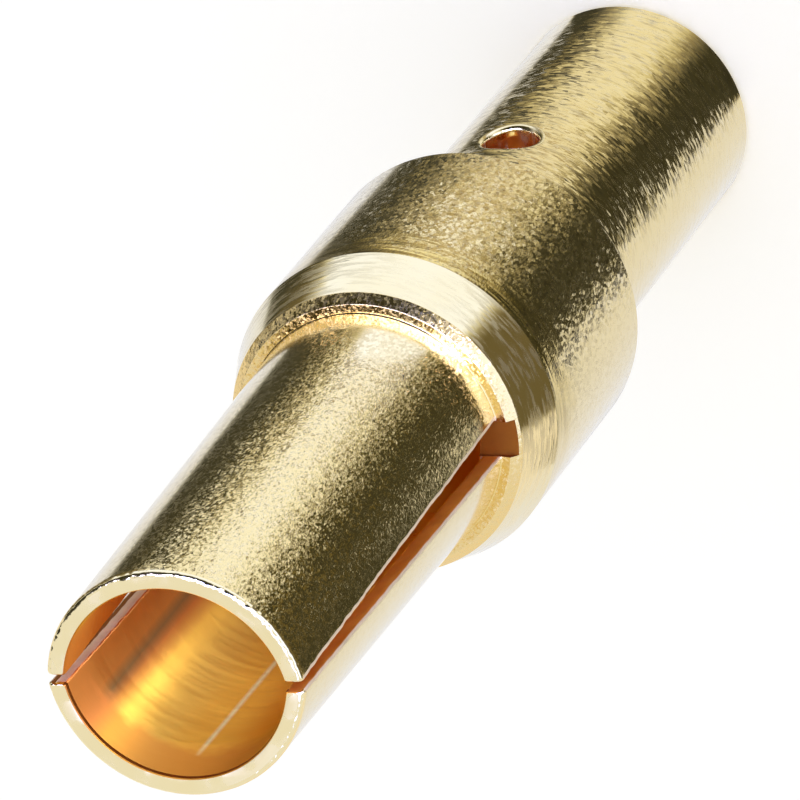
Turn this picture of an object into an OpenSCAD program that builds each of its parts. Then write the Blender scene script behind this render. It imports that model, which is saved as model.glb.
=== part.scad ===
// Turned crimp contact: wire barrel, locating collar and a split mating sleeve, in one piece.
// The axis is Z. The open end of the wire barrel is at z = 0 and the mouth of the sleeve points up.
// The two slots of the sleeve face +X and -X. The inspection hole faces +Y.

/* [Wire barrel] */
// Outside diameter of the wire barrel
barrel_d = 3.0; // [2.7:0.05:3.6]
// Length of the wire barrel, from its open end to the collar
barrel_len = 6.0; // [5:0.1:9]
// Diameter of the bore that takes the stripped wire
wire_bore_d = 2.2; // [1.4:0.05:2.4]
// Distance from the bottom of the straight wire bore to the collar
wire_stop = 0.8; // [0.75:0.05:1.1]
// Chamfer at the mouth of the wire bore
wire_lead_in = 0.12; // [0.04:0.01:0.14]
// Chamfer round the open end of the barrel
barrel_break = 0.06; // [0.02:0.01:0.08]
// Diameter of the inspection hole in the barrel's wall
peep_d = 0.82; // [0.4:0.02:1.0]
// Distance from the collar back to the centre of the inspection hole
peep_set_back = 1.7; // [1.6:0.05:2.8]

/* [Collar] */
// Diameter of the collar
collar_d = 4.0; // [3.9:0.05:5.0]
// Length of the straight part of the collar
collar_len = 3.1; // [1.5:0.1:6]
// Chamfer round the back edge of the collar
collar_break = 0.05; // [0.02:0.01:0.12]
// Length of the tapered lead-in at the front of the collar
lead_len = 0.8; // [0.4:0.05:1.6]
// Diameter at the front end of the lead-in
lead_front_d = 3.58; // [3.5:0.02:3.8]
// Chamfer between the lead-in and the front face
front_break = 0.11; // [0.04:0.01:0.14]

/* [Mating sleeve] */
// Outside diameter of the mating sleeve
sleeve_d = 3.1; // [2.95:0.05:3.2]
// Diameter of the socket inside the sleeve, before the tines are pinched
socket_d = 2.66; // [2.4:0.02:2.74]
// Length of the sleeve in front of the collar
sleeve_len = 6.8; // [4:0.1:10]
// Width of each slot at its root
slot_w = 0.45; // [0.3:0.01:0.6]
// Gap left between the tines at the mouth
mouth_gap = 0.1; // [0.04:0.01:0.2]
// Depth to which the slots are cut below the front face of the collar
slot_sink = 0.08; // [0.02:0.01:0.2]
// Bevel left in the corner between the sleeve and the front face of the collar
root_bevel = 0.03; // [0.01:0.01:0.04]
// Chamfer round the outer edge of the mouth
rim_break = 0.06; // [0.02:0.01:0.08]
// Chamfer round the inner edge of the mouth
socket_break = 0.02; // [0.01:0.005:0.04]
// Depth of the drilled hole below the front face of the collar
pilot_len = 0.6; // [0.3:0.05:0.75]
// Amount by which the drilled hole is smaller all round than the socket
pilot_step = 0.05; // [0.03:0.01:0.1]

/* [Hidden] */
$fn = 96;
plating = [0.87, 0.74, 0.47];
drill_point_half_angle = 59;
over = 0.2;
tine_embed = 0.2;
tine_trim = 0.02;

barrel_r = barrel_d / 2;
wire_r = wire_bore_d / 2;
collar_r = collar_d / 2;
lead_front_r = lead_front_d / 2;
sleeve_r = sleeve_d / 2;
socket_r = socket_d / 2;
pilot_r = socket_r - pilot_step;
root_r = sleeve_r + root_bevel;

collar_z = barrel_len;
lead_z = collar_z + collar_len;
front_z = lead_z + lead_len;
wire_bottom_z = collar_z - wire_stop;
peep_z = collar_z - peep_set_back;
pilot_bottom_z = front_z - pilot_len;
// Angle by which each tine leans in, so that the slots close to the gap at the mouth
pinch = asin((slot_w - mouth_gap) / 2 / sleeve_len);
slot_top_z = front_z + sleeve_len + over;

function drill_point(r) = r / tan(drill_point_half_angle);
function half_slot(z) = slot_w / 2 - tan(pinch) * (z - front_z);

// Outline of the barrel and the collar, turned about the axis
module turned_body() {
    rotate_extrude() polygon([
        [0, 0],
        [barrel_r - barrel_break, 0],
        [barrel_r, barrel_break],
        [barrel_r, collar_z],
        [collar_r - collar_break, collar_z],
        [collar_r, collar_z + collar_break],
        [collar_r, lead_z],
        [lead_front_r, front_z - front_break],
        [lead_front_r - front_break, front_z],
        [0, front_z],
    ]);
}

// Drilled wire bore with its chamfered mouth and the cone left by the drill
module wire_bore() {
    rotate_extrude() polygon([
        [0, -over],
        [wire_r + wire_lead_in + over, -over],
        [wire_r, wire_lead_in],
        [wire_r, wire_bottom_z],
        [0, wire_bottom_z + drill_point(wire_r)],
    ]);
}

// Drilled hole that runs on from the socket into the collar
module pilot_bore() {
    rotate_extrude() polygon([
        [0, pilot_bottom_z - drill_point(pilot_r)],
        [pilot_r, pilot_bottom_z],
        [pilot_r, front_z + over],
        [0, front_z + over],
    ]);
}

// Hole through one wall of the barrel, to see that the wire is home
module inspection_hole() {
    translate([0, 0, peep_z]) rotate([-90, 0, 0]) cylinder(d = peep_d, h = barrel_r + over);
}

// Section of the sleeve's wall, measured from the front face of the collar
module sleeve_section() {
    polygon([
        [socket_r, -tine_embed],
        [root_r, -tine_embed],
        [root_r, 0],
        [sleeve_r, root_bevel],
        [sleeve_r, sleeve_len - rim_break],
        [sleeve_r - rim_break, sleeve_len],
        [socket_r + socket_break, sleeve_len],
        [socket_r, sleeve_len - socket_break],
    ]);
}

// The tine on the +Y side, leaning in towards the axis from its root
module tine() {
    flank_y = slot_w / 2 - tine_trim;
    away = [collar_d, collar_d, sleeve_len + 2 * (tine_embed + over)];
    translate([0, 0, front_z]) rotate([pinch, 0, 0]) difference() {
        rotate_extrude() sleeve_section();
        translate([-away.x / 2, flank_y - away.y, -tine_embed - over]) cube(away);
    }
}

// Both slots as one cut, parallel in the collar and closing towards the mouth
module slots() {
    foot_z = front_z - slot_sink;
    top_half = half_slot(slot_top_z);
    translate([-collar_r - over, 0, 0]) rotate([90, 0, 90]) linear_extrude(collar_d + 2 * over) polygon([
        [-slot_w / 2, foot_z],
        [slot_w / 2, foot_z],
        [slot_w / 2, front_z],
        [top_half, slot_top_z],
        [-top_half, slot_top_z],
        [-slot_w / 2, front_z],
    ]);
}

module contact() {
    color(plating) difference() {
        union() {
            difference() {
                turned_body();
                pilot_bore();
            }
            tine();
            mirror([0, 1, 0]) tine();
        }
        wire_bore();
        inspection_hole();
        slots();
    }
}

contact();
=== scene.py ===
"""Looks of a turned crimp contact: pale gold plating over a fine mesh, on a white floor in soft light.

Sizes are in millimetres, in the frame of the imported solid: the axis is Z, the crimp end stands on z = 0,
the slots of the sleeve face +X and -X, and the inspection hole faces +Y.
"""

import math
from typing import NamedTuple

import bpy
import numpy as np
from mathutils import Matrix, Vector, noise


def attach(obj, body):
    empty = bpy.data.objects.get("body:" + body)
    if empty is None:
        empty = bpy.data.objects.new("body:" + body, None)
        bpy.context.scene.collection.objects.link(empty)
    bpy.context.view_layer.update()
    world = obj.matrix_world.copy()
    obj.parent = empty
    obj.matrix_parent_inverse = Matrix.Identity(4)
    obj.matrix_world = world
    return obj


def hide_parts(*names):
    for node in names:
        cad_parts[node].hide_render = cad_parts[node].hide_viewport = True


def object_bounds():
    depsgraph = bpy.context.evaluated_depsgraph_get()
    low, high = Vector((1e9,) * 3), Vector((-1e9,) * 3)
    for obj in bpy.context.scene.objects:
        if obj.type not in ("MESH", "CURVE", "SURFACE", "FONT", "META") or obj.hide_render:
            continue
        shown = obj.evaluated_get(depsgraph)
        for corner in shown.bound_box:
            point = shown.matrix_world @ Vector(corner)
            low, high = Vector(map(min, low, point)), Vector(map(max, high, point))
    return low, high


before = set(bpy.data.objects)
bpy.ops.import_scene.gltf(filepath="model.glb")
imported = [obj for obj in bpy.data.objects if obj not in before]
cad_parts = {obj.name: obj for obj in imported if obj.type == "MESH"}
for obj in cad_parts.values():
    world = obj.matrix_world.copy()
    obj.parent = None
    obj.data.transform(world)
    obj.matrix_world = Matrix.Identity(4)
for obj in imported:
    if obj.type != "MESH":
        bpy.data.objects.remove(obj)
cad_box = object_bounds()
scene = bpy.context.scene

# Unit, in metres
MM = 0.001

# Wire barrel
BARREL_R = 1.5
BARREL_LEN = 6.0
BARREL_BREAK = 0.06
WIRE_R = 1.1
WIRE_STOP = 0.8
WIRE_LEAD_IN = 0.12
PEEP_DRILL_R = 0.345
PEEP_SET_BACK = 1.7
DRILL_HALF_ANGLE = math.radians(59)

# Collar
COLLAR_R = cad_box[1].x / MM
COLLAR_LEN = 3.1
COLLAR_BREAK = 0.05
LEAD_LEN = 0.8
LEAD_FRONT_R = 1.79
FRONT_BREAK = 0.11

# Mating sleeve
SLEEVE_R = 1.55
SOCKET_R = 1.33
SLEEVE_LEN = 6.8
SLOT_W = 0.45
MOUTH_GAP = 0.1
SLOT_SINK = 0.08
ROOT_FILLET = 0.03
RIM_BREAK = 0.06
SOCKET_BREAK = 0.02
PILOT_LEN = 0.6
PILOT_R = 1.28
TINE_EMBED = 0.2

# Places that follow from the sizes
COLLAR_Z = BARREL_LEN
LEAD_Z = COLLAR_Z + COLLAR_LEN
FRONT_Z = LEAD_Z + LEAD_LEN
WIRE_BOTTOM_Z = COLLAR_Z - WIRE_STOP
PEEP_Z = COLLAR_Z - PEEP_SET_BACK
PILOT_BOTTOM_Z = FRONT_Z - PILOT_LEN
PINCH = math.asin((SLOT_W - MOUTH_GAP) / 2 / SLEEVE_LEN)

# Fine forms that the solid leaves out: rounded edges, dished front face, lips of the hole and the tines
EDGE = 0.02
FACE_EDGE = 0.012
FACE_DISH = 0.03
PEEP_LIP = 0.075
UPPER_LIP = 0.065
LOWER_LIP = 0.03
LIP_DEPTH = 0.05
SOCKET_LIP = 0.025

# Distance below the rim at which the painted shade line inside the mouth stops
RIM_LINE = 0.005

# Waves of the slot's edges: height, pace along the tine, and a start for each tine and each flank
BURR = 0.012
BURR_PACE = 7.0
UPPER_SEED = 1.5
LOWER_SEED = 8.5
FLANK_SEEDS = (0.0, 7.0)

# Mesh density
COLUMNS = 256
ARC_STEPS = 5
PEEP_COLUMNS = 22
PEEP_ROWS = 24
PEEP_HALF_HEIGHT = 0.62
PEEP_MARGIN = 0.002
PEEP_PATCH_RINGS = 6
TINE_OUTER_STEPS = 120
TINE_INNER_STEPS = 80
TINE_FLANK_STEPS = 3
TINE_STATIONS = 100
SHARP_ANGLE = math.radians(38)

# Camera, as it stands to the part in the photograph
VIEW_AIM = (0.234, 0.309, 9.515)
VIEW_DISTANCE = 126.0
VIEW_AZIMUTH = 47.843
VIEW_ELEVATION = 59.049
VIEW_ROLL = -140.998
VIEW_LENS = 485.81
VIEW_SENSOR = 36.0

# Finishes, in the order of the material slots
BLASTED, COARSE, TURNED, POLISHED, BEADED, FACED, DRILLED, FLANK, SHEARED_HIGHLIGHT, SAWN_SHADE, REAMED = range(11)


# Outline and lathe of the body

def rounded_corner(before, corner, after, radius):
    """Points of an arc that rounds one corner of an outline."""
    corner = np.array(corner, float)
    back = np.array(before, float) - corner
    ahead = np.array(after, float) - corner
    back /= np.linalg.norm(back)
    ahead /= np.linalg.norm(ahead)
    half = math.acos(np.clip(back @ ahead, -1, 1)) / 2
    middle = (back + ahead) / np.linalg.norm(back + ahead)
    centre = corner + middle * radius / math.sin(half)
    start = corner + back * radius / math.tan(half) - centre
    end = corner + ahead * radius / math.tan(half) - centre
    turn = math.atan2(start[0] * end[1] - start[1] * end[0], start @ end)
    angles = turn * np.arange(ARC_STEPS + 1) / ARC_STEPS
    x = start[0] * np.cos(angles) - start[1] * np.sin(angles)
    y = start[0] * np.sin(angles) + start[1] * np.cos(angles)
    return np.c_[x, y] + centre


def drill_point(radius):
    """Height of the cone that a drill of that radius leaves."""
    return radius / math.tan(DRILL_HALF_ANGLE)


def peep_heights():
    """Heights of the rows that the inspection hole is set into."""
    return PEEP_Z + np.linspace(-PEEP_HALF_HEIGHT, PEEP_HALF_HEIGHT, PEEP_ROWS + 1)


def body_outline():
    """Radius and height along the section, from the tip of the wire bore round to the tip of the pilot hole.

    A finish comes with each stretch between two points.
    """
    rows = peep_heights()
    corners = [(0, WIRE_BOTTOM_Z + drill_point(WIRE_R), 0, REAMED), (WIRE_R, WIRE_BOTTOM_Z, EDGE, REAMED)]
    corners += [(WIRE_R, z, 0, REAMED) for z in rows[::-1]]
    corners += [
        (WIRE_R, WIRE_LEAD_IN, EDGE, REAMED),
        (WIRE_R + WIRE_LEAD_IN, 0, EDGE, TURNED),
        (BARREL_R - BARREL_BREAK, 0, EDGE, TURNED),
        (BARREL_R, BARREL_BREAK, EDGE, TURNED),
    ]
    corners += [(BARREL_R, z, 0, TURNED) for z in rows]
    corners += [
        (BARREL_R, COLLAR_Z, EDGE, TURNED),
        (COLLAR_R - COLLAR_BREAK, COLLAR_Z, EDGE, COARSE),
        (COLLAR_R, COLLAR_Z + COLLAR_BREAK, EDGE, COARSE),
        (COLLAR_R, LEAD_Z, EDGE, POLISHED),
        (LEAD_FRONT_R, FRONT_Z - FRONT_BREAK, EDGE, FACED),
        (LEAD_FRONT_R - FRONT_BREAK, FRONT_Z, FACE_EDGE, FACED),
        (SLEEVE_R, FRONT_Z - FACE_DISH, 0, POLISHED),
        (PILOT_R, FRONT_Z - FACE_DISH, EDGE, DRILLED),
        (PILOT_R, PILOT_BOTTOM_Z, EDGE, DRILLED),
        (0, PILOT_BOTTOM_Z - drill_point(PILOT_R), 0, DRILLED),
    ]
    points = []
    finishes = []
    for k, (r, z, rounding, finish) in enumerate(corners):
        if rounding:
            arc = rounded_corner(corners[k - 1][:2], (r, z), corners[k + 1][:2], rounding)
        else:
            arc = [(r, z)]
        points.extend(arc)
        finishes.extend([finish] * len(arc))
    return np.array(points), finishes


def lathe(outline, finishes, is_open):
    """Points, faces and finishes of the outline turned about Z, without the faces that is_open names."""
    rings = outline[1:-1]
    angles = 2 * math.pi * np.arange(COLUMNS) / COLUMNS
    points = [(r * math.cos(a), r * math.sin(a), z) for r, z in rings for a in angles]
    faces = []
    marks = []
    for row in range(len(rings) - 1):
        for column in range(COLUMNS):
            if is_open(row, column):
                continue
            beside = (column + 1) % COLUMNS
            low = row * COLUMNS
            high = low + COLUMNS
            faces.append((low + column, low + beside, high + beside, high + column))
            marks.append(finishes[row + 1])
    last = (len(rings) - 1) * COLUMNS
    for tip, start, order, mark in ((outline[0], 0, -1, REAMED), (outline[-1], last, 1, DRILLED)):
        points.append((0.0, 0.0, tip[1]))
        for column in range(COLUMNS):
            pair = (start + column, start + (column + 1) % COLUMNS)[::order]
            faces.append((*pair, len(points) - 1))
            marks.append(mark)
    return points, faces, marks


# Inspection hole

def patch_loop(rows, columns):
    """Point numbers round the edge of the patch left open for the hole, anticlockwise from outside."""
    first, last = columns
    loop = [(rows[0], c) for c in range(first, last)]
    loop += [(row, last) for row in rows[:-1]]
    loop += [(rows[-1], c) for c in range(last, first, -1)]
    loop += [(row, first) for row in rows[:0:-1]]
    return [row * COLUMNS + column for row, column in loop]


def hole_rings(points, outer_loop, inner_loop):
    """Rings of points from the barrel's surface over the lip, down the hole and out on to the bore."""
    outer = np.array([points[i] for i in outer_loop])
    inner = np.array([points[i] for i in inner_loop])
    turn = np.arctan2(outer[:, 2] - PEEP_Z, outer[:, 0])
    side, rise = np.cos(turn), np.sin(turn)
    lip_r = PEEP_DRILL_R + PEEP_LIP

    def on_wall(radius, reach, depth):
        """A ring at a reach from the hole's axis, sunk by a depth below a wall of that radius."""
        x = reach * side
        return np.c_[x, np.sqrt(radius ** 2 - x ** 2) - depth, PEEP_Z + reach * rise]

    def across(edge, radius, share):
        """A ring on a wall of that radius, part of the way from the patch's edge to the lip."""
        start = np.arcsin(edge[:, 0] / radius)
        goal = np.arcsin(lip_r * side / radius)
        lean = start + (goal - start) * share
        height = edge[:, 2] + (PEEP_Z + lip_r * rise - edge[:, 2]) * share
        return np.c_[radius * np.sin(lean), radius * np.cos(lean), height]

    shares = np.arange(1, PEEP_PATCH_RINGS) / PEEP_PATCH_RINGS
    bends = np.linspace(0, math.pi / 2, ARC_STEPS + 1)
    rings = [(across(outer, BARREL_R, s), TURNED) for s in shares]
    for radius, way, angles, finish in ((BARREL_R, 1, bends, POLISHED), (WIRE_R, -1, bends[::-1], REAMED)):
        for bend in angles:
            reach = PEEP_DRILL_R + PEEP_LIP * (1 - math.sin(bend))
            rings.append((on_wall(radius, reach, way * PEEP_LIP * (1 - math.cos(bend))), finish))
    rings += [(across(inner, WIRE_R, s), REAMED) for s in shares[::-1]]
    return rings


def body_mesh():
    """The barrel and the collar with the bores and the inspection hole."""
    outline, finishes = body_outline()
    rings = outline[1:-1]
    inside = np.abs(rings[:, 1] - PEEP_Z) < PEEP_HALF_HEIGHT + PEEP_MARGIN
    barrel_rows = [int(i) for i in np.flatnonzero(inside & np.isclose(rings[:, 0], BARREL_R))]
    bore_rows = [int(i) for i in np.flatnonzero(inside & np.isclose(rings[:, 0], WIRE_R))]
    facing_y = COLUMNS // 4
    columns = (facing_y - PEEP_COLUMNS, facing_y + PEEP_COLUMNS)
    open_rows = set(barrel_rows[:-1]) | set(bore_rows[:-1])

    def is_open(row, column):
        """True for the faces that make room for the hole."""
        return row in open_rows and columns[0] <= column < columns[1]

    points, faces, marks = lathe(outline, finishes, is_open)
    outer_loop = patch_loop(barrel_rows, columns)
    inner_loop = patch_loop(bore_rows[::-1], columns)
    previous = outer_loop
    mark = TURNED
    for ring, next_mark in [*hole_rings(points, outer_loop, inner_loop), (None, REAMED)]:
        if ring is None:
            current = inner_loop
        else:
            current = list(range(len(points), len(points) + len(ring)))
            points.extend(map(tuple, ring))
        for k in range(len(current)):
            after = (k + 1) % len(current)
            faces.append((previous[k], previous[after], current[after], current[k]))
            marks.append(mark)
        previous = current
        mark = next_mark
    return points, faces, marks


# Tines of the sleeve

def bent(start, corner, end, steps):
    """Points of a curve that rounds a corner, without its last point."""
    t = np.arange(steps)[:, None] / steps
    return (1 - t) ** 2 * np.array(start) + 2 * t * (1 - t) * np.array(corner) + t ** 2 * np.array(end)


def tine_section(outer_r, inner_r, right_flank, left_flank, lip, right_finish):
    """Closed section of the tine on the +Y side, anticlockwise, with a finish for each stretch."""

    def half(flank):
        """Corners of one flank, and the angles at which the round walls start beside it."""
        tip = math.sqrt(outer_r ** 2 - flank ** 2)
        root = math.sqrt(inner_r ** 2 - flank ** 2)
        outer_start = math.asin(flank / outer_r) + lip / outer_r
        inner_start = math.asin(flank / inner_r) + SOCKET_LIP / inner_r
        return tip, root, outer_start, inner_start

    tip, root, outer_right, inner_right = half(right_flank)
    tip_left, root_left, outer_left, inner_left = half(left_flank)
    outer = np.linspace(outer_right, math.pi - outer_left, TINE_OUTER_STEPS + 1)
    inner = np.linspace(math.pi - inner_left, inner_right, TINE_INNER_STEPS + 1)
    outer = outer_r * np.c_[np.cos(outer), np.sin(outer)]
    inner = inner_r * np.c_[np.cos(inner), np.sin(inner)]
    across = np.arange(TINE_FLANK_STEPS)[:, None] / TINE_FLANK_STEPS
    depth = min(lip, LIP_DEPTH)
    left_top = np.array([-(tip_left - depth), left_flank])
    left_low = np.array([-(root_left + SOCKET_LIP), left_flank])
    right_top = np.array([tip - depth, right_flank])
    right_low = np.array([root + SOCKET_LIP, right_flank])
    # The rounded edges carry a painted highlight, and the flank's outer step carries painted shade
    parts = [
        (outer[:-1], BLASTED),
        (bent(outer[-1], (-tip_left, left_flank), left_top, ARC_STEPS), SHEARED_HIGHLIGHT),
        (left_top + (left_low - left_top) * across, FLANK),
        (bent(left_low, (-root_left, left_flank), inner[0], ARC_STEPS), DRILLED),
        (inner[:-1], DRILLED),
        (bent(inner[-1], (root, right_flank), right_low, ARC_STEPS), DRILLED),
        (right_low + (right_top - right_low) * across[:-1], right_finish),
        (right_low + (right_top - right_low) * across[-1:], SAWN_SHADE),
        (bent(right_top, (tip, right_flank), outer[0], ARC_STEPS), SHEARED_HIGHLIGHT),
    ]
    section = np.vstack([points for points, _ in parts])
    finishes = [finish for points, finish in parts for _ in points]
    return section, finishes


def tine_stations():
    """Distance from the front face, outer and inner radius and the flank's set-back, along the tine."""
    stations = [(-TINE_EMBED, SLEEVE_R + ROOT_FILLET, SOCKET_R, 0.0)]
    bends = np.linspace(0, math.pi / 2, ARC_STEPS + 1)
    for bend in bends:
        z = ROOT_FILLET * (1 - math.cos(bend)) - FACE_DISH
        stations.append((z, SLEEVE_R + ROOT_FILLET * (1 - math.sin(bend)), SOCKET_R, 0.0))
    for z in np.linspace(ROOT_FILLET, SLEEVE_LEN - RIM_BREAK, TINE_STATIONS)[1:-1]:
        stations.append((z, SLEEVE_R, SOCKET_R, 0.0))
    for bend in bends:
        z = SLEEVE_LEN - RIM_BREAK * (1 - math.sin(bend))
        back = 1 - math.cos(bend)
        stations.append((z, SLEEVE_R - RIM_BREAK * back, SOCKET_R + SOCKET_BREAK * back, SOCKET_BREAK * back))
    return stations


def tine_mesh(seed, facing, lip, right_finish):
    """One tine, leaning in by the pinch angle. The facing is 1 for the +Y side and -1 for the -Y side."""
    points = []
    faces = []
    marks = []
    rim_start = SLEEVE_LEN - RIM_BREAK
    rim_finish = {BLASTED: BEADED, SHEARED_HIGHLIGHT: BEADED}
    # The lower tine's bore is painted with shade just inside the mouth
    line_finish = {**rim_finish, DRILLED: SAWN_SHADE if facing < 0 else DRILLED}
    for k, (z, outer_r, inner_r, set_back) in enumerate(tine_stations()):
        free = 1.0 if z > 0 else 0.0
        if z <= rim_start:
            swaps = {}
        elif z < SLEEVE_LEN - RIM_LINE:
            swaps = line_finish
        else:
            swaps = rim_finish
        flanks = [
            SLOT_W / 2 + set_back + free * BURR * noise.noise(Vector((z * BURR_PACE, seed, side)))
            for side in FLANK_SEEDS
        ]
        section, finishes = tine_section(outer_r, inner_r, *flanks, lip, right_finish)
        x, y = section.T
        # The rings lie flat on the collar at the root and square to the tine at the rim
        along = z - y * math.tan(PINCH) * (1 - z / SLEEVE_LEN)
        across = y * math.cos(PINCH) - along * math.sin(PINCH)
        height = y * math.sin(PINCH) + along * math.cos(PINCH) + FRONT_Z
        count = len(section)
        points.extend(zip(facing * x, facing * across, height))
        for i in range(count if k else 0):
            after = (i + 1) % count
            low, high = (k - 1) * count, k * count
            faces.append((low + i, low + after, high + after, high + i))
            marks.append(swaps.get(finishes[i], finishes[i]))
    faces.append(tuple(range(count))[::-1])
    faces.append(tuple(range(len(points) - count, len(points))))
    marks += [DRILLED, POLISHED]
    return points, faces, marks


def notch_mesh():
    """Shallow cut that carries both slots a little way into the front face, in painted shade."""
    half = SLOT_W / 2
    low, high = FRONT_Z - SLOT_SINK, FRONT_Z + SLOT_SINK
    reach = COLLAR_R + SLOT_SINK
    points = [(x, y, z) for z in (low, high) for y in (-half, half) for x in (-reach, reach)]
    faces = [(0, 2, 3, 1), (4, 5, 7, 6), (0, 1, 5, 4), (2, 6, 7, 3), (0, 4, 6, 2), (1, 3, 7, 5)]
    return points, faces, [SAWN_SHADE] * len(faces)


# Joining the pieces of the mesh

def mesh_object(name, points, faces, marks, materials):
    """A mesh in the scene, with a material number for each face."""
    mesh = bpy.data.meshes.new(name)
    mesh.from_pydata([tuple(map(float, p)) for p in points], [], faces)
    for material in materials:
        mesh.materials.append(material)
    mesh.polygons.foreach_set("material_index", marks)
    mesh.validate()
    obj = bpy.data.objects.new(name, mesh)
    scene.collection.objects.link(obj)
    return obj


def settled(obj):
    """Puts the result of the modifiers in place of the mesh."""
    bpy.context.view_layer.update()
    result = bpy.data.meshes.new_from_object(obj.evaluated_get(bpy.context.evaluated_depsgraph_get()))
    obj.modifiers.clear()
    obj.data = result


def combine(target, tool, operation):
    """Joins the tool to the target or cuts it away, and removes the tool."""
    modifier = target.modifiers.new(operation, "BOOLEAN")
    modifier.object = tool
    modifier.operation = operation
    modifier.solver = "MANIFOLD"
    settled(target)
    bpy.data.objects.remove(tool)


def make_contact(materials):
    """The whole contact as one closed mesh with smooth shading between its edges."""
    contact = mesh_object("contact_plated", *body_mesh(), materials)
    combine(contact, mesh_object("notch", *notch_mesh(), materials), "DIFFERENCE")
    for tine in ((UPPER_SEED, 1, UPPER_LIP, FLANK), (LOWER_SEED, -1, LOWER_LIP, SHEARED_HIGHLIGHT)):
        combine(contact, mesh_object("tine", *tine_mesh(*tine), materials), "UNION")
    contact.data.transform(Matrix.Scale(MM, 4))
    contact.data.polygons.foreach_set("use_smooth", [True] * len(contact.data.polygons))
    contact.data.set_sharp_from_angle(angle=SHARP_ANGLE)
    weighted = contact.modifiers.new("normals", "WEIGHTED_NORMAL")
    weighted.keep_sharp = True
    settled(contact)
    return contact


# Materials

# Colours of the plating
GOLD = (0.91, 0.74, 0.34, 1.0)
WARM_GOLD = (0.88, 0.69, 0.29, 1.0)
# Paler golds of the polished and beaded finishes: a painted highlight
HIGHLIGHT_GOLD = (0.94, 0.83, 0.53, 1.0)
CREAM_HIGHLIGHT_GOLD = (0.92, 0.78, 0.44, 1.0)
FACED_GOLD = (0.86, 0.66, 0.34, 1.0)
STRIP_GOLD = (0.84, 0.63, 0.19, 1.0)
# Darker gold of the pits and scratches: painted shade
PIT_SHADE_GOLD = (0.48, 0.36, 0.14, 1.0)
DEEP_GOLD = (1.0, 0.59, 0.05, 1.0)
COPPER_GOLD = (0.82, 0.38, 0.035, 1.0)
# Redder gold of one side of the socket: a painted reflection
RED_REFLECTION_GOLD = (0.86, 0.33, 0.05, 1.0)
# Colours of the painted shade line and the painted highlight line in the socket
PAINTED_SHADE_GOLD = (0.45, 0.25, 0.06, 1.0)
PAINTED_GLEAM_GOLD = (1.0, 0.95, 0.35, 1.0)
FLANK_GOLD = (0.92, 0.42, 0.06, 1.0)
# Pale colour of the tines' rounded edges and of the lower tine's flank: a painted highlight
SHEARED_HIGHLIGHT_GOLD = (1.0, 0.82, 0.50, 1.0)
# Dark colour of the notch, of a step of each slot's flank and of a line inside the mouth: painted shade
SAWN_SHADE_GOLD = (0.36, 0.125, 0.015, 1.0)
REAMED_GOLD = (0.94, 0.60, 0.27, 1.0)

# Clear coat over the plating
COAT_WEIGHT = 1.0
COAT_ROUGHNESS = 0.1
COAT_IOR = 1.2

# Roughness where the chance pattern of a finish is low and where it is high
SLEEVE_ROUGHNESS = (0.1, 0.24)
COLLAR_ROUGHNESS = (0.12, 0.28)
TURNED_ROUGHNESS = (0.1, 0.28)
POLISHED_ROUGHNESS = (0.32, 0.07)
FACED_ROUGHNESS = (0.12, 0.3)
BEADED_ROUGHNESS = (0.08, 0.2)
BORE_ROUGHNESS = (0.42, 0.52)
DULL_ROUGHNESS = (0.5, 0.65)
SHEARED_HIGHLIGHT_ROUGHNESS = (0.65, 0.8)

# Chance patterns: spans that count as low to high, roughness, mean and layers of detail
CELL_SPAN = (0.2, 0.8)
NOISE_SPAN = (0.3, 0.7)
LINE_SPAN = (0.4, 0.6)
NOISE_ROUGHNESS = 0.55
CELL_MEAN = (0.5, 0.5, 0.5)
SOFT_DETAIL = 1.0
MEDIUM_DETAIL = 2.0
FINE_DETAIL = 3.0

# Slow changes of colour, in waves per millimetre, and how dark the dull finishes get
WARM_PACE = 2.5
BRIGHT_PACE = 2.0
FACED_PACE = 9.0
DULL_PACE = 4.0
DULL_SHADE = 0.8

# Grain: cells per millimetre round and along the axis, depth of the bump and tilt of the cells
GRAIN_ROUND = 36.0
GRAIN_ALONG = 20.0
GRAIN_DEPTH = 0.006
SLEEVE_TILT = 0.2
COLLAR_ROUND = 26.0
COLLAR_ALONG = 16.0
COLLAR_TILT = 0.27
FACE_TILT = 0.2
STREAK_ROUND = 10.0
STREAK_ALONG = 26.0
STREAK_TILT = 0.31
STREAK_DEPTH = 0.006

# The grain lies on one side of the part and fades to a smooth finish round it
GRAIN_AZIMUTH = math.radians(57)
GRAIN_EDGES = (0.58, 0.75)
GRAIN_LEFT = 0.08

# Painted shade: darker specks in the pits of the collar and the scratches of the barrel
PIT_ROUND = 16.0
PIT_ALONG = 12.0
SCRATCH_ROUND = 4.0
SCRATCH_ALONG = 16.0
PIT_SHADE_EDGES = (0.5, 0.7)
PIT_SHADE_SHARE = 0.8

# Fine lines round the axis, marks along the slots and beads on the rim
LINE_ROUND = 3.0
LINE_ALONG = 20.0
LINE_DEPTH = 0.003
SAW_ROUND = 9.0
SAW_ALONG = 2.0
BEAD_ROUND = 9.0
BEAD_ALONG = 1.0
BEAD_DEPTH = 0.03

# Smooth strip at the sleeve's root, with a smooth patch above it
ROOT_SMOOTH = 0.3
PATCH_AZIMUTH = math.radians(71)
PATCH_HALF_WIDTH = math.radians(20)
PATCH_TOP = 1.5
PATCH_SOFTNESS = 0.3
PATCH_PACE = 6.0
PATCH_RAGGED = 0.12

# The sleeve's grain fades towards the slots: distances from the middle of the slot, and the share left there
FADE_START = 0.25
FADE_END = 0.85
FADE_SHARE = 0.3

# Turning lines at the front of the collar
STRIP_START_Z = 8.3
STRIP_FULL_Z = 8.95
STRIP_ROUND = 1.5
STRIP_PACE = 4.0
STRIP_RAGGED = 0.3

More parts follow.
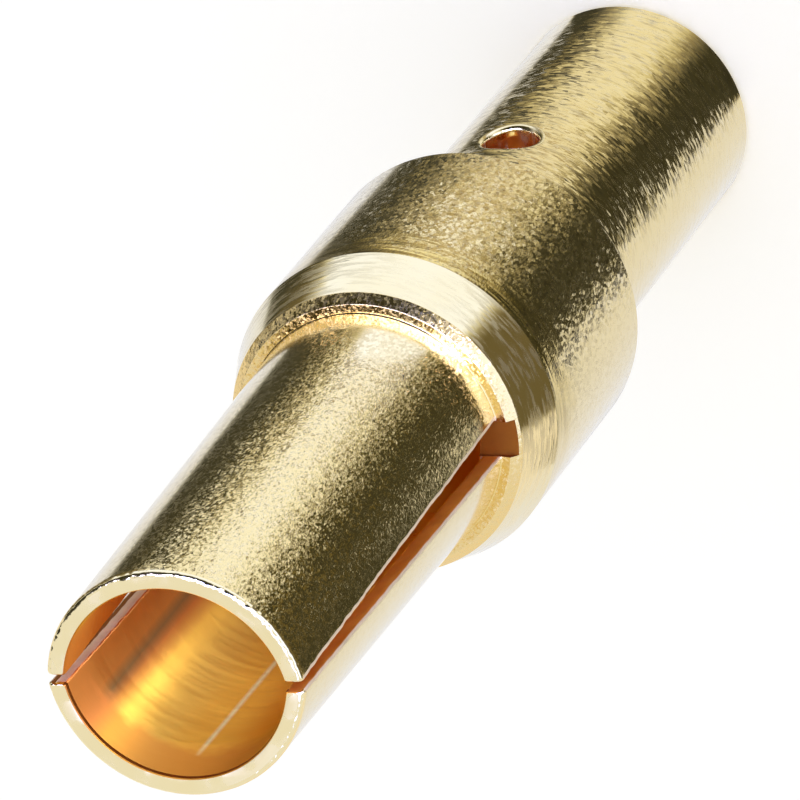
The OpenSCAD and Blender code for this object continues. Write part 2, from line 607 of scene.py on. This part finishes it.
# Drill marks in the socket, which stretch the highlights along the axis, and the worn part at its mouth
DRILL_ROUND = 1.5
DRILL_ALONG = 12.0
BORE_STRETCH = 1.0
QUARTER_TURN = 0.25
COPPER_START_Z = 15.8
COPPER_FULL_Z = 16.1
COPPER_DULL = 0.25
COPPER_PACE = 3.0
COPPER_RAGGED = 0.1
# Painted reflection: the socket's wall turns redder towards this azimuth, between these cosines of the turn
RED_REFLECTION_AZIMUTH = math.radians(182)
RED_REFLECTION_EDGES = (0.76, 0.86)

# Painted shade and painted highlight along the socket: a dark line, and a bright line that paints the
# reflection of a slot's flank; azimuth, half width and colour
PAINTED_BORE_LINES = (
    (math.radians(204), 0.12, PAINTED_SHADE_GOLD),
    (math.radians(265), 0.045, PAINTED_GLEAM_GOLD),
)


class Tree:
    """Short calls for building a material's nodes."""

    def __init__(self, name):
        """Starts a material without nodes."""
        self.material = bpy.data.materials.new(name)
        self.material.use_nodes = True
        self.nodes = self.material.node_tree.nodes
        self.links = self.material.node_tree.links
        self.nodes.clear()

    def node(self, kind, inputs, **settings):
        """A node with its settings, and its inputs linked or set."""
        made = self.nodes.new(kind)
        for key, value in settings.items():
            setattr(made, key, value)
        for key, value in inputs.items():
            if isinstance(value, bpy.types.NodeSocket):
                self.links.new(value, made.inputs[key])
            else:
                made.inputs[key].default_value = value
        return made

    def math(self, operation, *values):
        """Result of a sum with numbers."""
        return self.node("ShaderNodeMath", dict(enumerate(values)), operation=operation).outputs["Value"]

    def vector_math(self, operation, *values):
        """Result of a sum with vectors."""
        made = self.node("ShaderNodeVectorMath", dict(enumerate(values)), operation=operation)
        return made.outputs["Vector"]

    def scaled(self, vector, factor):
        """The vector times a factor."""
        made = self.node("ShaderNodeVectorMath", {0: vector, "Scale": factor}, operation="SCALE")
        return made.outputs["Vector"]

    def between(self, value, low, high, to_low, to_high):
        """Carries the span from low to high over to another span, and stays at its ends outside it."""
        return self.node("ShaderNodeMapRange", {
            "Value": value, "From Min": low, "From Max": high, "To Min": to_low, "To Max": to_high,
        }).outputs["Result"]

    def tint(self, share, first, second):
        """A colour that goes from the first to the second as the share goes from 0 to 1."""
        return self.node("ShaderNodeMix", {0: share, 6: first, 7: second}, data_type="RGBA").outputs[2]

    def millimetres(self):
        """The place on the part, in millimetres."""
        return self.scaled(self.node("ShaderNodeTexCoord", {}).outputs["Object"], 1 / MM)

    def coordinate(self, place, axis):
        """One coordinate of the place."""
        return self.node("ShaderNodeSeparateXYZ", {"Vector": place}).outputs[axis]

    def ragged_height(self, place, pace, reach, detail=MEDIUM_DETAIL):
        """Height of the place, moved up or down by chance as far as the reach."""
        shift = self.between(self.noise(place, pace, detail), *NOISE_SPAN, -reach, reach)
        return self.math("ADD", self.coordinate(place, "Z"), shift)

    def reach(self, place, azimuth):
        """Distance of the place from the axis, measured towards the azimuth."""
        facing = (math.cos(azimuth), math.sin(azimuth), 0.0)
        made = self.node("ShaderNodeVectorMath", {0: place, 1: facing}, operation="DOT_PRODUCT")
        return made.outputs["Value"]

    def towards(self, place, azimuth, radius):
        """Cosine of the turn between the place on a wall of that radius and the azimuth."""
        return self.math("DIVIDE", self.reach(place, azimuth), radius)

    def on_line(self, place, azimuth, half_width):
        """1 on a line along the wall at the azimuth, and 0 from half its width outwards."""
        aside = self.math("ABSOLUTE", self.reach(place, azimuth + math.pi / 2))
        ahead = self.math("GREATER_THAN", self.reach(place, azimuth), 0.0)
        return self.math("MULTIPLY", ahead, self.between(aside, 0.0, half_width, 1.0, 0.0))

    def stretched(self, place, across, along):
        """The place with its distances round the axis and along the axis scaled apart."""
        return self.node(
            "ShaderNodeMapping", {"Vector": place, "Scale": (across, across, along)}).outputs["Vector"]

    def noise(self, vector, scale=1.0, detail=MEDIUM_DETAIL):
        """Soft chance pattern."""
        return self.node("ShaderNodeTexNoise", {
            "Vector": vector, "Scale": scale, "Detail": detail, "Roughness": NOISE_ROUGHNESS}).outputs["Fac"]

    def cells(self, vector):
        """Small cells, each with a chance colour of its own."""
        return self.node("ShaderNodeTexVoronoi", {"Vector": vector, "Scale": 1.0}).outputs["Color"]

    def facets(self, cells, tilt):
        """The surface's normal, tilted by chance from cell to cell."""
        lean = self.scaled(self.vector_math("SUBTRACT", cells, CELL_MEAN), tilt)
        upright = self.node("ShaderNodeNewGeometry", {}).outputs["Normal"]
        return self.vector_math("NORMALIZE", self.vector_math("ADD", upright, lean))

    def bump(self, height, depth, normal=None):
        """The normal, bent by a height pattern of that depth in millimetres."""
        made = self.node("ShaderNodeBump", {"Height": height, "Distance": depth * MM})
        if normal is not None:
            self.links.new(normal, made.inputs["Normal"])
        return made.outputs["Normal"]

    def grain_share(self, place, radius):
        """1 where the grain is full, and less where it fades round the part."""
        return self.between(self.towards(place, GRAIN_AZIMUTH, radius), *GRAIN_EDGES, GRAIN_LEFT, 1.0)

    def grain_normal(self, pattern, cells, share, depth, tilt):
        """The normal of a grainy surface, in which only a share of the grain is left."""
        height = self.math("MULTIPLY", self.noise(pattern), share)
        return self.bump(height, depth, self.facets(cells, self.math("MULTIPLY", share, tilt)))

    def warm_gold(self, place):
        """Pale gold that turns a little warmer here and there."""
        return self.tint(self.noise(place, WARM_PACE, FINE_DETAIL), GOLD, WARM_GOLD)

    def highlight_gold(self, place):
        """Gold paled as a painted highlight, which turns creamier here and there."""
        return self.tint(self.noise(place, BRIGHT_PACE), HIGHLIGHT_GOLD, CREAM_HIGHLIGHT_GOLD)

    def pit_shaded(self, place, across, along, share, gold):
        """The gold with painted shade in pits of that size, as strong as the share of the grain."""
        pits = self.noise(self.stretched(place, across, along), detail=FINE_DETAIL)
        dark = self.math("MULTIPLY", self.between(pits, *PIT_SHADE_EDGES, 0.0, PIT_SHADE_SHARE), share)
        return self.tint(dark, gold, PIT_SHADE_GOLD)

    def finish(self, shader):
        """The material with this shader on its surface."""
        output = self.nodes.new("ShaderNodeOutputMaterial")
        self.links.new(shader, output.inputs["Surface"])
        return self.material

    def metal(self, colour, roughness, normal, **settings):
        """The material as metal under a clear coat, with other settings where they are given."""
        inputs = {
            "Base Color": colour, "Metallic": 1.0, "Roughness": roughness, "Normal": normal,
            "Coat Weight": COAT_WEIGHT, "Coat Roughness": COAT_ROUGHNESS, "Coat IOR": COAT_IOR}
        inputs.update({name.replace("_", " "): value for name, value in settings.items()})
        return self.finish(self.node("ShaderNodeBsdfPrincipled", inputs).outputs["BSDF"])


def sleeve_plating():
    """Fine grain, which gives way to a smooth strip at the root of the sleeve and a smooth patch above it."""
    tree = Tree("plating_sleeve")
    place = tree.millimetres()
    grainy = tree.stretched(place, GRAIN_ROUND, GRAIN_ALONG)
    cells = tree.cells(grainy)
    turn = tree.towards(place, PATCH_AZIMUTH, SLEEVE_R)
    strip_top = FRONT_Z + ROOT_SMOOTH
    smooth_top = tree.between(turn, math.cos(PATCH_HALF_WIDTH), 1.0, strip_top, FRONT_Z + PATCH_TOP)
    height = tree.ragged_height(place, PATCH_PACE, PATCH_RAGGED, FINE_DETAIL)
    above = tree.math("SUBTRACT", height, smooth_top)
    share = tree.between(above, -PATCH_SOFTNESS, PATCH_SOFTNESS, 0.0, 1.0)
    share = tree.math("MULTIPLY", share, tree.grain_share(place, SLEEVE_R))
    from_slot = tree.math("ABSOLUTE", tree.coordinate(place, "Y"))
    tilt = tree.between(from_slot, FADE_START, FADE_END, FADE_SHARE * SLEEVE_TILT, SLEEVE_TILT)
    normal = tree.grain_normal(grainy, cells, share, GRAIN_DEPTH, tilt)
    rough = tree.between(cells, *CELL_SPAN, *SLEEVE_ROUGHNESS)
    return tree.metal(tree.warm_gold(place), rough, normal)


def collar_plating():
    """Coarser grain with painted shade in its pits, which gives way to turning lines at the front of the
    collar.
    """
    tree = Tree("plating_collar")
    place = tree.millimetres()
    grainy = tree.stretched(place, COLLAR_ROUND, COLLAR_ALONG)
    lines = tree.stretched(place, STRIP_ROUND, LINE_ALONG)
    height = tree.ragged_height(place, STRIP_PACE, STRIP_RAGGED, FINE_DETAIL)
    strip = tree.between(height, STRIP_START_Z, STRIP_FULL_Z, 0.0, 1.0)
    cells = tree.tint(strip, tree.cells(grainy), tree.cells(lines))
    share = tree.grain_share(place, COLLAR_R)
    normal = tree.grain_normal(grainy, cells, share, GRAIN_DEPTH, COLLAR_TILT)
    rough = tree.between(cells, *CELL_SPAN, *COLLAR_ROUGHNESS)
    gold = tree.tint(strip, tree.warm_gold(place), STRIP_GOLD)
    return tree.metal(tree.pit_shaded(place, PIT_ROUND, PIT_ALONG, share, gold), rough, normal)


def turned_plating():
    """Short streaks and scratches round the barrel, left by the turning tool, with painted shade in the
    scratches.
    """
    tree = Tree("plating_turned")
    place = tree.millimetres()
    streaky = tree.stretched(place, STREAK_ROUND, STREAK_ALONG)
    cells = tree.cells(streaky)
    share = tree.grain_share(place, BARREL_R)
    normal = tree.grain_normal(streaky, cells, share, STREAK_DEPTH, STREAK_TILT)
    rough = tree.between(cells, *CELL_SPAN, *TURNED_ROUGHNESS)
    gold = tree.pit_shaded(place, SCRATCH_ROUND, SCRATCH_ALONG, share, tree.warm_gold(place))
    return tree.metal(gold, rough, normal)


def polished_plating():
    """Shiny, in gold paled as a painted highlight, with faint lines round the axis."""
    tree = Tree("plating_polished")
    place = tree.millimetres()
    line = tree.noise(tree.stretched(place, LINE_ROUND, LINE_ALONG))
    rough = tree.between(line, *LINE_SPAN, *POLISHED_ROUGHNESS)
    return tree.metal(tree.highlight_gold(place), rough, tree.bump(line, LINE_DEPTH))


def beaded_plating():
    """Rounded edge of the mouth, with tool marks across it."""
    tree = Tree("plating_beaded")
    place = tree.millimetres()
    bead = tree.noise(tree.stretched(place, BEAD_ROUND, BEAD_ALONG), detail=SOFT_DETAIL)
    rough = tree.between(bead, *NOISE_SPAN, *BEADED_ROUGHNESS)
    return tree.metal(tree.highlight_gold(place), rough, tree.bump(bead, BEAD_DEPTH))


def faced_plating():
    """Front face and its chamfer, with fine pits."""
    tree = Tree("plating_faced")
    place = tree.millimetres()
    cells = tree.cells(tree.stretched(place, GRAIN_ROUND, GRAIN_ALONG))
    rough = tree.between(cells, *CELL_SPAN, *FACED_ROUGHNESS)
    normal = tree.bump(tree.noise(place, GRAIN_ROUND), LINE_DEPTH, tree.facets(cells, FACE_TILT))
    return tree.metal(tree.tint(tree.noise(place, FACED_PACE), FACED_GOLD, WARM_GOLD), rough, normal)


def drilled_plating():
    """Inside of the socket, with drill marks, a duller copper mouth, a redder side that is a painted
    reflection, and a painted shade line and a painted highlight line along it.
    """
    tree = Tree("plating_drilled")
    place = tree.millimetres()
    marks = tree.noise(tree.stretched(place, DRILL_ROUND, DRILL_ALONG), detail=FINE_DETAIL)
    height = tree.ragged_height(place, COPPER_PACE, COPPER_RAGGED)
    worn = tree.between(height, COPPER_START_Z, COPPER_FULL_Z, 0.0, 1.0)
    unworn = tree.math("SUBTRACT", 1.0, worn)
    rough = tree.between(marks, *NOISE_SPAN, *BORE_ROUGHNESS)
    rough = tree.math("ADD", rough, tree.math("MULTIPLY", worn, COPPER_DULL))
    # Painted reflection: redder towards one side of the socket
    red_reflection = tree.between(tree.towards(place, RED_REFLECTION_AZIMUTH, SOCKET_R), *RED_REFLECTION_EDGES, 0.0, 1.0)
    colour = tree.tint(red_reflection, tree.tint(worn, DEEP_GOLD, COPPER_GOLD), RED_REFLECTION_GOLD)
    # Painted shade line and painted highlight line on the socket's wall
    for azimuth, half_width, painted_colour in PAINTED_BORE_LINES:
        share = tree.math("MULTIPLY", unworn, tree.on_line(place, azimuth, half_width))
        colour = tree.tint(share, colour, painted_colour)
    round_axis = tree.node("ShaderNodeTangent", {}, direction_type="RADIAL", axis="Z").outputs["Tangent"]
    return tree.metal(
        colour, rough, tree.bump(marks, LINE_DEPTH), Anisotropic=BORE_STRETCH,
        Anisotropic_Rotation=QUARTER_TURN, Tangent=round_axis, Coat_Weight=0.0)


def dull_plating(name, colour, roughness):
    """Duller plating without a coat, for the slots, the sheared edges and the wire bore, in colours that
    include painted highlight and painted shade.
    """
    tree = Tree(name)
    place = tree.millimetres()
    marks = tree.noise(tree.stretched(place, SAW_ROUND, SAW_ALONG))
    rough = tree.between(marks, *NOISE_SPAN, *roughness)
    darker = tuple(DULL_SHADE * c for c in colour)
    shade = tree.tint(tree.noise(place, DULL_PACE), colour, darker)
    return tree.metal(shade, rough, tree.bump(marks, LINE_DEPTH), Coat_Weight=0.0)


# Floor, cards, light and camera

FLOOR_HALF = 600.0
FLOOR_COLOUR = (0.9, 0.9, 0.9, 1.0)
FLOOR_LIFT = 0.24
WORLD_COLOUR = (1.0, 1.0, 1.0, 1.0)
WORLD_STRENGTH = 0.9
GLOSSY_BOUNCES = 32

# Cards that lie just above the floor, and steps of every curved card
CARD_HEIGHT = 0.02
CARD_STEPS = 32
BORE_TONE = (1.2, 1.2, 1.2)

# Black card in the air: azimuths and elevations from the part, in degrees, and distance
BLACK_SIDE = ((62.0, 190.0), (12.0, 58.0), 110.0)
CARD_BLACK = (0.05, 0.047, 0.022, 1.0)

# Bright cards in the air: name, azimuths, elevations, distance and tone
BRIGHT_CARDS = (
    ("lamp", (50.0, 90.0), (56.0, 88.0), 80.0, (4.0, 5.0, 15.0)),
    ("streak", (33.0, 47.0), (45.0, 82.0), 78.0, (17.0, 18.0, 38.0)),
    ("white", (-25.0, 40.0), (8.0, 40.0), 110.0, (1.25, 1.45, 2.2)),
    ("left_sky", (92.0, 158.0), (60.0, 76.0), 90.0, (6.0, 6.0, 12.0)),
    ("right_sky", (270.0, 405.0), (62.0, 89.0), 90.0, (1.4, 1.7, 3.4)),
)


class Zone(NamedTuple):
    """Stretch of the floor card that one part of the contact mirrors.

    The distances are from the barrel's wall, in millimetres. The turns are from the camera, in degrees.
    """
    near: float
    far: float
    left_fade: tuple
    right_rise: tuple
    right_end: float
    bright: tuple
    dark: tuple
    side: tuple


# Tones of the floor card, from the dark bands to the white beside them
OLIVE = (0.05, 0.048, 0.03)
BROWN = (0.15, 0.12, 0.055)
TAN = (0.40, 0.36, 0.25)
WARM_SHARE = (0.82, 0.79, 0.64)
SIDE_WHITE = (0.86, 0.87, 0.91)
SIDE_CREAM = (0.94, 0.87, 0.76)

# Turns from the camera, in degrees, and shares of shade at which the tones follow each other
LEFT_EDGE = -65.5
EDGE_SOFTNESS = 1.0
TONE_SHARES = (0.0, 0.2, 0.5, 1.0)
FLOOR_TURNS = np.arange(-84.0, 85.0)
FLOOR_ZONES = (
    Zone(0.0, 3.3, (-54, -31), (-14, 10), 35, (0.94, 0.94, 0.90), OLIVE, SIDE_WHITE),
    Zone(3.6, 6.2, (-54, -20), (-22, 8), 31, (0.58, 0.50, 0.35), OLIVE, SIDE_WHITE),
    Zone(6.6, 7.3, (-42, -30), (-8, 5), 51, (1.25, 1.45, 2.4), OLIVE, SIDE_WHITE),
    Zone(7.9, 12.0, (-46, -24), (-16, 5), 51, (1.10, 1.20, 1.6), OLIVE, SIDE_WHITE),
    Zone(13.3, 400.0, (-52, -43), (0, 7), 36, (1.09, 1.18, 1.5), BROWN, SIDE_CREAM),
)


def direction(azimuth, elevation):
    """Unit vector at an azimuth from +X and an elevation above the floor, in degrees."""
    a, e = math.radians(azimuth), math.radians(elevation)
    return Vector((math.cos(a) * math.cos(e), math.sin(a) * math.cos(e), math.sin(e)))


def eased(value, start, end):
    """Goes smoothly from 0 at the start to 1 at the end."""
    share = min(max((value - start) / (end - start), 0.0), 1.0)
    return share * share * (3 - 2 * share)


def zone_tone(turn, zone):
    """Colour of the floor card in one zone: two dark bands with soft inner edges, and white beside them."""
    inside = eased(turn, LEFT_EDGE - EDGE_SOFTNESS, LEFT_EDGE + EDGE_SOFTNESS)
    beyond = eased(turn, zone.right_end - EDGE_SOFTNESS, zone.right_end + EDGE_SOFTNESS)
    left = inside * (1 - eased(turn, *zone.left_fade))
    right = eased(turn, *zone.right_rise) * (1 - beyond)
    share = inside * (1 - beyond)
    bright = [share * b + (1 - share) * s for b, s in zip(zone.bright, zone.side)]
    shade = max(left, right)
    warm = [w * min(b, 1.0) for w, b in zip(WARM_SHARE, bright)]
    return [np.interp(shade, TONE_SHARES, tones) for tones in zip(bright, warm, TAN, zone.dark)]


def floor_material():
    """White to the camera and in reflections, and still dimmed by the object's shadow."""
    tree = Tree("floor_white")
    path = tree.node("ShaderNodeLightPath", {})
    seen = tree.math("ADD", path.outputs["Is Camera Ray"], path.outputs["Is Glossy Ray"])
    seen = tree.math("ADD", seen, path.outputs["Is Transmission Ray"])
    lift = tree.math("MULTIPLY", seen, FLOOR_LIFT)
    matt = tree.node("ShaderNodeBsdfDiffuse", {"Color": FLOOR_COLOUR})
    glow = tree.node("ShaderNodeEmission", {"Strength": lift})
    both = tree.node("ShaderNodeAddShader", {0: matt.outputs["BSDF"], 1: glow.outputs["Emission"]})
    return tree.finish(both.outputs["Shader"])


def toned_material():
    """Glows in the colours that the card's points carry."""
    tree = Tree("card_toned")
    tone = tree.node("ShaderNodeAttribute", {}, attribute_name="tone").outputs["Color"]
    return tree.finish(tree.node("ShaderNodeEmission", {"Color": tone}).outputs["Emission"])


def black_material():
    """Matt and nearly black."""
    tree = Tree("card_black")
    return tree.finish(tree.node("ShaderNodeBsdfDiffuse", {"Color": CARD_BLACK}).outputs["BSDF"])


def lamp_material(name, tone):
    """Glows in one tone, which can be brighter than white."""
    tree = Tree(name)
    strength = max(tone)
    colour = (*(t / strength for t in tone), 1.0)
    glow = tree.node("ShaderNodeEmission", {"Color": colour, "Strength": strength})
    return tree.finish(glow.outputs["Emission"])


def make_floor():
    """Wide white floor that the contact stands on."""
    h = FLOOR_HALF
    corners = [(-h, -h, 0), (h, -h, 0), (h, h, 0), (-h, h, 0)]
    floor = mesh_object("floor", corners, [(0, 1, 2, 3)], [0], [floor_material()])
    floor.data.transform(Matrix.Scale(MM, 4))


def make_card(name, rows, material):
    """A curved card through rows of points, which shows only in the metal."""
    across = len(rows[0])
    points = [p for row in rows for p in row]
    faces = []
    for k in range(len(rows) - 1):
        for i in range(across - 1):
            first = k * across + i
            faces.append((first, first + 1, first + across + 1, first + across))
    card = mesh_object(name, points, faces, [0] * len(faces), [material])
    card.data.transform(Matrix.Scale(MM, 4))
    card.visible_camera = False
    card.visible_diffuse = False
    card.visible_transmission = False
    card.visible_shadow = False
    return card


def make_floor_card():
    """Toned card that lies where the upright walls mirror the floor."""
    rows = []
    tones = []
    for turn in FLOOR_TURNS:
        start = direction(VIEW_AZIMUTH - turn, 0) * BARREL_R
        ahead = direction(VIEW_AZIMUTH - 2 * turn, 0)
        row = []
        for zone in FLOOR_ZONES:
            for distance in (zone.near, zone.far):
                place = start + ahead * distance
                row.append((place.x, place.y, CARD_HEIGHT))
                tones.append((*zone_tone(turn, zone), 1.0))
        rows.append(row)
    card = make_card("floor_card", rows, toned_material())
    tone = card.data.attributes.new("tone", "FLOAT_COLOR", "POINT")
    tone.data.foreach_set("color", np.ravel(tones))


def make_air_card(name, azimuths, elevations, distance, material):
    """Card in the air that bends round the contact."""
    rows = []
    for azimuth in np.linspace(*azimuths, CARD_STEPS):
        rows.append([tuple(direction(azimuth, e) * distance) for e in elevations])
    make_card(name, rows, material)


def make_bore_card():
    """Light from below the open end of the wire bore."""
    rows = []
    for azimuth in np.linspace(0, 360, CARD_STEPS):
        edge = direction(azimuth, 0) * WIRE_R
        rows.append([(0, 0, CARD_HEIGHT), (edge.x, edge.y, CARD_HEIGHT)])
    make_card("bore_card", rows, lamp_material("card_bore", BORE_TONE))


def make_world():
    """Even white light from all sides."""
    world = bpy.data.worlds.new("soft_room")
    world.use_nodes = True
    background = world.node_tree.nodes["Background"]
    background.inputs["Color"].default_value = WORLD_COLOUR
    background.inputs["Strength"].default_value = WORLD_STRENGTH
    scene.world = world


def make_camera():
    """Camera that stands to the contact as in the photograph."""
    lens = bpy.data.cameras.new("camera")
    lens.lens = VIEW_LENS
    lens.sensor_width = VIEW_SENSOR
    lens.clip_start = MM
    camera = bpy.data.objects.new("camera", lens)
    back = direction(VIEW_AZIMUTH, VIEW_ELEVATION)
    upright = direction(VIEW_AZIMUTH + 180, 90 - VIEW_ELEVATION)
    turn = Matrix((upright.cross(back), upright, back)).transposed()
    roll = Matrix.Rotation(math.radians(VIEW_ROLL), 3, "Z")
    place = Vector(VIEW_AIM) + back * VIEW_DISTANCE
    camera.matrix_world = Matrix.Translation(place * MM) @ (turn @ roll).to_4x4()
    scene.collection.objects.link(camera)
    scene.camera = camera


# Putting the scene together

make_camera()
make_floor()
make_floor_card()
make_bore_card()
make_air_card("side_card", *BLACK_SIDE, black_material())
for name, azimuths, elevations, distance, tone in BRIGHT_CARDS:
    make_air_card(f"{name}_card", azimuths, elevations, distance, lamp_material(f"card_{name}", tone))
make_world()
contact = make_contact([
    sleeve_plating(),
    collar_plating(),
    turned_plating(),
    polished_plating(),
    beaded_plating(),
    faced_plating(),
    drilled_plating(),
    dull_plating("plating_flank", FLANK_GOLD, DULL_ROUGHNESS),
    dull_plating("plating_sheared_highlight", SHEARED_HIGHLIGHT_GOLD, SHEARED_HIGHLIGHT_ROUGHNESS),
    dull_plating("plating_sawn_shade", SAWN_SHADE_GOLD, DULL_ROUGHNESS),
    dull_plating("plating_reamed", REAMED_GOLD, DULL_ROUGHNESS),
])
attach(contact, "root")
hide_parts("contact")
scene.cycles.glossy_bounces = GLOSSY_BOUNCES
scene.cycles.max_bounces = GLOSSY_BOUNCES
scene.view_settings.view_transform = "Standard"
